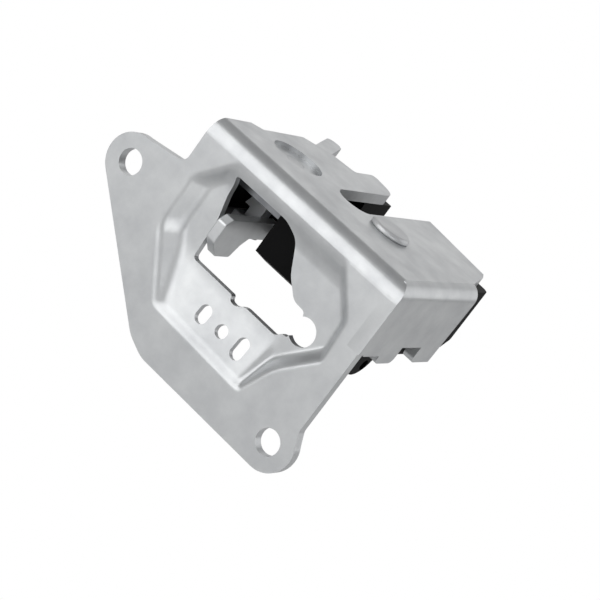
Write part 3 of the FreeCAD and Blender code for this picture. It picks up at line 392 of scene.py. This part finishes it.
grown_rim = grown(RIM, SEAM_MARGIN)
print("rim corners:", len(RIM), "seam from x", round(min(x for x, _ in grown_rim), 1))

# %% [markdown]
# A hole or a seam is cut with a block of its outline: a filled circle with as many points as
# the outline is added, its points are put on the outline, and it is extruded. The exact Boolean
# then cuts, joins or crosses, and the tool is removed.

# %% Blocks and cuts


def prism(name, outline, low, high, axis="Y"):
    """A closed block with this outline. It runs along Y from an XZ outline, or along X from
    a YZ outline."""
    bpy.ops.object.select_all(action="DESELECT")
    bpy.ops.mesh.primitive_circle_add(vertices=len(outline), radius=1, fill_type="NGON")
    block = bpy.context.object
    block.name = name
    for vertex, (across, up) in zip(block.data.vertices, outline):
        place = (across, low, up) if axis == "Y" else (low, across, up)
        vertex.co = Vector(place) * MM
    run = (high - low) * MM
    bpy.ops.object.mode_set(mode="EDIT")
    bpy.ops.mesh.select_all(action="SELECT")
    bpy.ops.mesh.extrude_region_move(TRANSFORM_OT_translate={
        "value": (0, run, 0) if axis == "Y" else (run, 0, 0)})
    bpy.ops.mesh.select_all(action="SELECT")
    bpy.ops.mesh.normals_make_consistent(inside=False)
    bpy.ops.object.mode_set(mode="OBJECT")
    return block


def combine(piece, tool, operation, keep_tool=False):
    """Cuts, joins or crosses a piece with a tool, and then removes the tool."""
    bpy.ops.object.select_all(action="DESELECT")
    piece.select_set(True)
    bpy.context.view_layer.objects.active = piece
    change = piece.modifiers.new("change", "BOOLEAN")
    change.operation = operation
    change.solver = "EXACT"
    change.object = tool
    bpy.ops.object.modifier_apply(modifier=change.name)
    if not keep_tool:
        bpy.data.objects.remove(tool, do_unlink=True)
    print(piece.name, operation.lower(), "faces:", len(piece.data.polygons))


# %% [markdown]
# The ramp starts at the lower edge of the recess, a little behind the plate, and reaches the
# floor at the opening. To its right a small facet falls to the floor. The soft versions of
# least and greatest give each fold its radius.

# %% The depth of the pressing
FLOOR = 3.5
RAMP_LOW, RAMP_START = -22.4, 1.1
RAMP_TOP = -8.1
FACET_START, FACET_RISE, FACET_TURN = 56.6, 0.12, 0.52
RIM_SOFT, FOLD_SOFT, FACET_SOFT, FLOOR_SOFT = 1.0, 1.2, 0.6, 0.5
RAMP_SLOPE = (FLOOR - RAMP_START) / (RAMP_TOP - RAMP_LOW)


def least(first, second, soft):
    """The smaller of two depths, blended where they differ by less than the soft width."""
    blend = max(soft - abs(first - second), 0) / soft
    return min(first, second) - blend * blend * soft / 4


def most(first, second, soft):
    """The greater of two depths, blended in the same way."""
    return -least(-first, -second, soft)


def pressed_depth(x, z):
    """How far the front of the sheet lies behind the rim, in millimetres."""
    here = Vector((x, z))
    walls = [FLOOR * (here - start).dot(inward) / run
             for (start, inward), run in zip(edges_of(RIM), WALL_RUNS)]
    walls[3:5] = [most(walls[3], walls[4], FOLD_SOFT)]
    ramp = RAMP_START + (z - RAMP_LOW) * RAMP_SLOPE
    facet = RAMP_START + (z - RAMP_LOW) * FACET_RISE + (x - FACET_START) * FACET_TURN
    depth = least(FLOOR, most(ramp, facet, FACET_SOFT), FLOOR_SOFT)
    for wall in walls:
        depth = least(depth, wall, FOLD_SOFT)
    return most(depth, 0, RIM_SOFT)


print("depth right of the opening:", round(pressed_depth(64.0, 4.0), 2), "mm")

# %% [markdown]
# The grid spans a little more than the rim, with points about a third of a millimetre apart.
# It is extruded by the thickness of the sheet. Drawing thins a sheet, so the back of the
# pressing comes a little nearer to its front than on the flat plate.

# %% The pressed sheet
GRID_POINTS = (170, 130)
GRID_SIZE = (59.6, 45.4)
GRID_MIDDLE = (44.0, -3.2)
THINNED = 0.9
bpy.ops.object.select_all(action="DESELECT")
bpy.ops.mesh.primitive_grid_add(x_subdivisions=GRID_POINTS[0], y_subdivisions=GRID_POINTS[1],
                                size=1.0)
pressing = bpy.context.object
pressing.name = "pressed_recess"
for vertex in pressing.data.vertices:
    spot_x = GRID_MIDDLE[0] + vertex.co.x * GRID_SIZE[0]
    spot_z = GRID_MIDDLE[1] + vertex.co.y * GRID_SIZE[1]
    vertex.co = Vector((spot_x, pressed_depth(spot_x, spot_z), spot_z)) * MM
bpy.ops.object.mode_set(mode="EDIT")
bpy.ops.mesh.select_all(action="SELECT")
bpy.ops.mesh.extrude_region_move(TRANSFORM_OT_translate={"value": (0, SHEET * MM, 0)})
bpy.ops.mesh.select_all(action="SELECT")
bpy.ops.mesh.normals_make_consistent(inside=False)
bpy.ops.object.mode_set(mode="OBJECT")
for vertex in pressing.data.vertices:
    depth = pressed_depth(vertex.co.x / MM, vertex.co.z / MM)
    if vertex.co.y / MM > depth + 0.5 * SHEET:
        vertex.co.y -= THINNED * min(depth, 1.0) * MM
print("pressing:", len(pressing.data.polygons), "faces")

# %% [markdown]
# The pressing is trimmed to a seam just outside the rim, the same outline is cut out of the
# plate, and the opening is punched through the floor. It ends in a round lobe on the right.

# %% Trim the seam and punch the opening
LOBE_X, LOBE_Z, LOBE_RADIUS = 61.8, -2.8, 3.7
OPENING_SOFT = 1.4
OPENING = [(24.9, 15.4), (42.6, 15.4), (46.4, 13.2), (50.8, 5.5), (55.3, 1.4), (59.5, 1.2),
           (59.5, -6.5), (57.8, -6.5), (56.8, -8.1), (46.0, -8.1), (44.0, -9.7), (42.0, -9.5),
           (41.6, -8.1), (27.2, -8.1), (26.8, 3.0), (25.0, 10.0)]
seam = prism("seam_tool", grown_rim, -1, 8)
combine(pressing, seam, "INTERSECT", keep_tool=True)
combine(bracket_shell, seam, "DIFFERENCE")
combine(pressing, prism("opening_tool", softened(OPENING, OPENING_SOFT), -1, 9), "DIFFERENCE")
lobe = [(LOBE_X + LOBE_RADIUS * math.sin(math.radians(7.5 * i)),
         LOBE_Z + LOBE_RADIUS * math.cos(math.radians(7.5 * i))) for i in range(48)]
combine(pressing, prism("lobe_tool", lobe, -1, 9), "DIFFERENCE")

# %% [markdown]
# Three small holes go through the ramp: two of them are slots, and the middle one is round. They
# are punched square to it, so their tools lean with the ramp.

# %% Punch the ramp holes
RAMP_HOLES = ((39.0, 1.6), (45.5, 0.0), (52.0, 2.6))
RAMP_HOLE_Z, RAMP_HOLE_RADIUS = -16.3, 1.8
lean = math.atan(RAMP_SLOPE)
for run, slot_length in RAMP_HOLES:
    outline = []
    for i in range(40):
        angle = math.radians(9 * i + 4.5)
        half = math.copysign(slot_length / 2, math.cos(angle))
        outline.append((RAMP_HOLE_RADIUS * math.sin(angle),
                        RAMP_HOLE_RADIUS * math.cos(angle) + half))
    tool = prism("ramp_hole_tool", outline, -4, 6)
    middle = Vector((run, pressed_depth(run, RAMP_HOLE_Z), RAMP_HOLE_Z)) * MM
    tool.data.transform(Matrix.Translation(middle) @ Matrix.Rotation(-lean, 4, "X"))
    combine(pressing, tool, "DIFFERENCE")

# %% [markdown]
# Where the fold of the flange meets the fold of the side wall, the real sheet closes to a
# rounded corner, and the front edge of the wall lies flush with the plate. One corner piece,
# the crossing of the two fold profiles, fills both.

# %% Closed corner of the folds
FLANGE_TOP, FOLD, WALL_FOLD, WALL_OUT = 23.4, 5.0, 3.8, 77.8
CORNER_LEFT, CORNER_LOW, CORNER_REAR = 73.9, 3.5, 8.0
FRONT_ROUND = 1.4


def quarter(centre_across, centre_up, radius, start, steps=10):
    """Points along a quarter circle, clockwise from a starting angle in degrees."""
    return [(centre_across + radius * math.cos(math.radians(start - 90 * i / steps)),
             centre_up + radius * math.sin(math.radians(start - 90 * i / steps)))
            for i in range(steps + 1)]


side_profile = ([(0.0, CORNER_LOW)] + quarter(FOLD, FLANGE_TOP - FOLD, FOLD, 180)
                + [(CORNER_REAR, FLANGE_TOP), (CORNER_REAR, FLANGE_TOP - SHEET),
                   (SHEET, FLANGE_TOP - FOLD), (SHEET + 0.4, CORNER_LOW)])
corner = prism("fold_corner", side_profile, CORNER_LEFT, WALL_OUT, axis="X")
front_profile = ([(73.0, 2.0), (73.0, FLANGE_TOP)]
                 + quarter(WALL_OUT - WALL_FOLD, FLANGE_TOP - WALL_FOLD, WALL_FOLD, 90)
                 + [(WALL_OUT, 2.0)])
combine(corner, prism("corner_tool", front_profile, -1, 9), "INTERSECT")
bpy.ops.object.select_all(action="DESELECT")
corner.select_set(True)
bpy.context.view_layer.objects.active = corner
front_edge = corner.modifiers.new("front_edge", "BEVEL")
front_edge.width = FRONT_ROUND * MM
front_edge.segments = 4
front_edge.limit_method = "ANGLE"
front_edge.angle_limit = math.radians(50)
bpy.ops.object.modifier_apply(modifier=front_edge.name)
combine(bracket_shell, corner, "UNION")

# %% [markdown]
# The pressing and the rest of the bracket are one sheet, so they become one piece with one
# finish, and it is shaded evenly as a whole.

# %% Join the bracket
for part in (pressing, bracket_shell):
    part.data.materials.clear()
    part.data.materials.append(ZINC)
bpy.ops.object.select_all(action="DESELECT")
for part in (pressing, bracket_shell):
    part.select_set(True)
bpy.context.view_layer.objects.active = bracket_shell
bpy.ops.object.join()
even_shading(bracket_shell)
print("bracket shell:", len(bracket_shell.data.polygons), "faces")

# %% [markdown]
# The lock is shown in front of plain white, as in a catalogue. The floor lies well below it,
# because the lock is held up by its screws. It is white to the camera, and a dull pale grey to
# everything else, so that it doesn't wash out the metal.

# %% Floor
FLOOR_DROP, FLOOR_SIZE = 0.12, 6.0
bpy.ops.mesh.primitive_plane_add(size=FLOOR_SIZE,
                                 location=(0.035, 0.03, cad_low[2] - FLOOR_DROP))
floor = bpy.context.object
floor.name = "studio_floor"
bpy.ops.object.transform_apply(location=True, rotation=False, scale=False)
floor_look = bpy.data.materials.new("studio_white")
floor_look.use_nodes = True
floor_tree = floor_look.node_tree
floor_tree.nodes.remove(floor_tree.nodes["Principled BSDF"])
dull = add_node(floor_tree, "ShaderNodeBsdfDiffuse", None, {"Color": linear("e6e6e6")})
glow = add_node(floor_tree, "ShaderNodeEmission", None, {
    "Color": linear("ffffff"), "Strength": 1.0})
seen = add_node(floor_tree, "ShaderNodeLightPath")
mix = add_node(floor_tree, "ShaderNodeMixShader", None, {
    0: (seen, "Is Camera Ray"), 1: (dull, "BSDF"), 2: (glow, "Emission")})
floor_tree.links.new(mix.outputs[0], floor_tree.nodes["Material Output"].inputs["Surface"])
floor.data.materials.append(floor_look)
print("floor at", round(cad_low[2] - FLOOR_DROP, 3), "m")

# %% [markdown]
# The world is treated like the floor: full white where the camera looks past the lock, and
# about a quarter of that for the light on the lock and for what its metal mirrors. This keeps
# its folds and walls apart.

# %% White surround
AROUND, BACKGROUND = 0.27, 1.0
world = bpy.data.worlds.new("studio")
bpy.context.scene.world = world
world.use_nodes = True
air = world.node_tree
path = add_node(air, "ShaderNodeLightPath")
level = add_node(air, "ShaderNodeMapRange", None, {
    "Value": (path, "Is Camera Ray"), "To Min": AROUND, "To Max": BACKGROUND})
air.links.new(level.outputs["Result"], air.nodes["Background"].inputs["Strength"])
air.nodes["Background"].inputs["Color"].default_value = linear("ffffff")
print("world strength", AROUND, "and to the camera", BACKGROUND)

# %% [markdown]
# A large soft box stands to the left and in front. The bright fold and the bright ramp of the
# photograph both mirror it. Two weaker ones stand behind, to the left and to the right, so that
# the flange and the levers mirror a pale surround from the back too. A small one on the right
# lights the faces that turn that way, the side wall and the left wall of the recess. For the
# same light a larger lamp is dimmer, and the sheet then turns white less easily where it
# mirrors it.

# %% Soft boxes
TARGET = Vector((0.038, 0.025, 0.0))


def soft_box(name, direction, distance, size, watts):
    """An area lamp that looks at the lock from a direction. Its size is width and height."""
    lamp = bpy.data.lights.new(name, "AREA")
    lamp.shape = "RECTANGLE"
    lamp.size, lamp.size_y = size
    lamp.energy = watts
    holder = bpy.data.objects.new(name, lamp)
    bpy.context.collection.objects.link(holder)
    holder.location = TARGET + Vector(direction).normalized() * distance
    holder.rotation_euler = (TARGET - holder.location).to_track_quat("-Z", "Y").to_euler()
    print(name, "at", [round(value, 2) for value in holder.location])


soft_box("front_left_box", (-0.36, -0.80, 0.42), 0.9, (1.0, 1.15), 5.4)
soft_box("back_left_box", (-0.36, 0.89, 0.26), 1.0, (0.8, 0.5), 0.75)
soft_box("back_right_box", (0.7, 0.9, 0.5), 1.0, (1.0, 0.9), 2.3)
soft_box("right_box", (0.76, -0.64, 0.06), 0.9, (0.7, 0.6), 2.1)

# %% [markdown]
# The camera stands to the right, in front and above, with a long lens, and is rolled by
# some thirty-six degrees, which sets the lock on its corner as the photograph does.

# %% Camera
CAMERA_PLACE = Vector((0.22672, -0.41722, 0.13600))
CAMERA_RIGHT = Vector((0.682, 0.457, 0.571)).normalized()
CAMERA_BACK = Vector((0.36, -0.889, 0.282))
CAMERA_BACK = (CAMERA_BACK - CAMERA_BACK.dot(CAMERA_RIGHT) * CAMERA_RIGHT).normalized()
CAMERA_UP = CAMERA_BACK.cross(CAMERA_RIGHT)
view = bpy.data.cameras.new("photo_camera")
view.lens = 120.0
view.sensor_width = 36.0
camera = bpy.data.objects.new("photo_camera", view)
bpy.context.collection.objects.link(camera)
turn = Matrix((CAMERA_RIGHT, CAMERA_UP, CAMERA_BACK)).transposed().to_4x4()
camera.matrix_world = Matrix.Translation(CAMERA_PLACE) @ turn
bpy.context.scene.camera = camera
bpy.context.scene.view_settings.view_transform = "Standard"
print("camera looks along", [round(-value, 3) for value in CAMERA_BACK])
